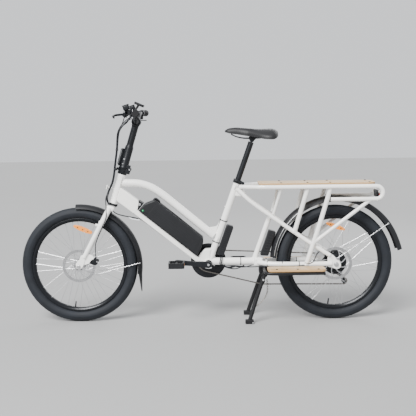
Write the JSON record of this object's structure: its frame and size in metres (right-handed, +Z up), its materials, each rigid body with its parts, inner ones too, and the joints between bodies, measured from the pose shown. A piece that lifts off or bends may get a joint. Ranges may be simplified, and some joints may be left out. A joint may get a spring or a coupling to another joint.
{
  "type": "cargo bicycle",
  "caption": "Longtail cargo bicycle with electric drive: white frame, plywood rear deck and running boards, folding handlepost, fenders and double-leg stand.",
  "frame": {"origin": "centre of the bounding box at ground level, midway between the wheels' outer ends and in the bicycle's middle plane", "axes": "+X rearwards, +Y to the rider's right, +Z up from the ground"},
  "size_m": [2.07, 0.6924, 1.1968],
  "materials": {
    "frame_paint": "gloss",
    "black_paint": "satin",
    "black_alloy": "satin anodised black",
    "grey_alloy": "satin cast grey",
    "rim_black": "anodised black rim, silver spokes",
    "black_plastic": "matte",
    "plywood": "clear varnished plywood",
    "tyre_rubber": "matte",
    "grip_rubber": "matte",
    "steel": "bright zinc plate",
    "rotor_steel": "ground stainless",
    "red_lens": "clear red lens",
    "saddle_leather": "black grained synthetic leather"
  },
  "bodies": {
    "frame": {"head_tube": "frame_paint", "top_tube": "frame_paint", "down_tube": "frame_paint", "seat_tube": "frame_paint", "base_tube": "frame_paint", "chainstays": "frame_paint", "upper_stays": "frame_paint", "front_arch": "frame_paint", "middle_arch": "frame_paint", "rear_arch": "frame_paint", "rack_rail_left": "frame_paint", "rack_rail_right": "frame_paint", "deck": "plywood", "running_board_left": "plywood", "running_board_right": "plywood", "board_support": "black_paint", "battery_dock": "black_plastic", "controller_box": "black_plastic", "junction_box": "black_plastic", "tail_light": "red_lens", "chain": "steel", "chain_guide": "black_plastic", "derailleur_body": "black_alloy", "derailleur_cage": "black_alloy", "rear_axle": "steel", "rear_caliper": "grey_alloy", "rear_fender": "black_plastic"},
    "steering": {"fork": "frame_paint", "front_axle": "steel", "front_caliper": "black_alloy", "front_fender": "black_plastic", "stem_base": "black_alloy"},
    "handlepost": {"stem_post": "black_alloy", "handlebar": "black_alloy", "grip_left": "grip_rubber", "grip_right": "grip_rubber", "control_left": "black_plastic", "control_right": "black_plastic", "display": "black_plastic"},
    "latch": {"stem_latch": "black_alloy"},
    "lever_left": {"brake_lever_left": "black_alloy"},
    "lever_right": {"brake_lever_right": "black_alloy"},
    "throttle": {"throttle_paddle": "black_plastic"},
    "shift_lever": {"shift_paddle": "black_plastic"},
    "front_wheel_set": {"front_tyre": "tyre_rubber", "front_wheel": "rim_black", "front_rotor": "rotor_steel"},
    "rear_wheel_set": {"rear_tyre": "tyre_rubber", "rear_wheel": "rim_black", "rear_rotor": "rotor_steel"},
    "freewheel": {"cassette": "steel"},
    "cranks": {"crank_arms": "black_alloy", "chainring": "black_alloy"},
    "pedal_l": {"pedal_left": "black_plastic"},
    "pedal_r": {"pedal_right": "black_plastic"},
    "seat_post": {"seatpost": "black_alloy", "saddle": "saddle_leather"},
    "seat_clamp_lever": {"seat_lever": "steel"},
    "battery_pack": {"battery": "black_plastic"},
    "stand_legs": {"stand": "black_paint"}
  },
  "joints": [
    {"name": "steering_turn", "type": "hinge", "parent": "frame", "child": "steering", "pos_m": [-0.504, 0, 0.73], "axis": [0.2907, 0, 0.9568], "range_deg": [-60, 60]},
    {"name": "handlepost_fold", "type": "hinge", "parent": "steering", "child": "handlepost", "pos_m": [-0.43717, 0, 0.83302], "axis": [0, 1, 0], "range_deg": [0, 90]},
    {"name": "latch_open", "type": "hinge", "parent": "handlepost", "child": "latch", "pos_m": [-0.49435, 0, 0.86084], "axis": [0, -1, 0], "range_deg": [0, 110]},
    {"name": "brake_left", "type": "hinge", "parent": "handlepost", "child": "lever_left", "pos_m": [-0.43853, -0.176, 1.12985], "axis": [0, 0, 1], "range_deg": [0, 22], "stiffness_Nm_per_rad": 1.5, "springref_deg": -11.46},
    {"name": "brake_right", "type": "hinge", "parent": "handlepost", "child": "lever_right", "pos_m": [-0.43853, 0.176, 1.12985], "axis": [0, 0, -1], "range_deg": [0, 22], "stiffness_Nm_per_rad": 1.5, "springref_deg": -11.46},
    {"name": "throttle_push", "type": "hinge", "parent": "handlepost", "child": "throttle", "pos_m": [-0.38097, -0.199, 1.13385], "axis": [-0.0676, -0.9977, 0], "range_deg": [0, 32], "stiffness_Nm_per_rad": 0.3, "springref_deg": -17.19},
    {"name": "shift_push", "type": "hinge", "parent": "handlepost", "child": "shift_lever", "pos_m": [-0.39704, 0.198, 1.09385], "axis": [0, 0, 1], "range_deg": [0, 30], "stiffness_Nm_per_rad": 0.2, "springref_deg": -17.19},
    {"name": "front_wheel_spin", "type": "hinge", "parent": "steering", "child": "front_wheel_set", "pos_m": [-0.72, 0, 0.315], "axis": [0, -1, 0], "continuous": true},
    {"name": "rear_wheel_spin", "type": "hinge", "parent": "frame", "child": "rear_wheel_set", "pos_m": [0.669, 0, 0.315], "axis": [0, -1, 0], "continuous": true},
    {"name": "crank_spin", "type": "hinge", "parent": "frame", "child": "cranks", "pos_m": [-0.018, 0, 0.32], "axis": [0, -1, 0], "continuous": true},
    {"name": "freewheel_spin", "type": "hinge", "parent": "frame", "child": "freewheel", "pos_m": [0.669, 0, 0.315], "axis": [0, -1, 0], "continuous": true},
    {"name": "pedal_left_spin", "type": "hinge", "parent": "cranks", "child": "pedal_l", "pos_m": [-0.18735, -0.142, 0.33482], "axis": [0, -1, 0], "continuous": true},
    {"name": "pedal_right_spin", "type": "hinge", "parent": "cranks", "child": "pedal_r", "pos_m": [0.15135, 0.142, 0.30518], "axis": [0, -1, 0], "continuous": true},
    {"name": "seatpost_slide", "type": "slide", "parent": "frame", "child": "seat_post", "axis": [0.3355, 0, 0.9421], "range_m": [-0.12, 0.06]},
    {"name": "seat_lever_turn", "type": "hinge", "parent": "frame", "child": "seat_clamp_lever", "pos_m": [0.17534, -0.026, 0.7508], "axis": [0.3355, 0, 0.9421], "range_deg": [0, 78]},
    {"name": "battery_slide", "type": "slide", "parent": "frame", "child": "battery_pack", "axis": [0, -1, 0], "range_m": [0, 0.14]},
    {"name": "stand_swing", "type": "hinge", "parent": "frame", "child": "stand_legs", "pos_m": [0.284, 0, 0.262], "axis": [0, -1, 0], "range_deg": [0, 100]}
  ],
  "couplings": [
    {"joint": "freewheel_spin", "follows": "crank_spin", "ratio": 1.6667}
  ]
}
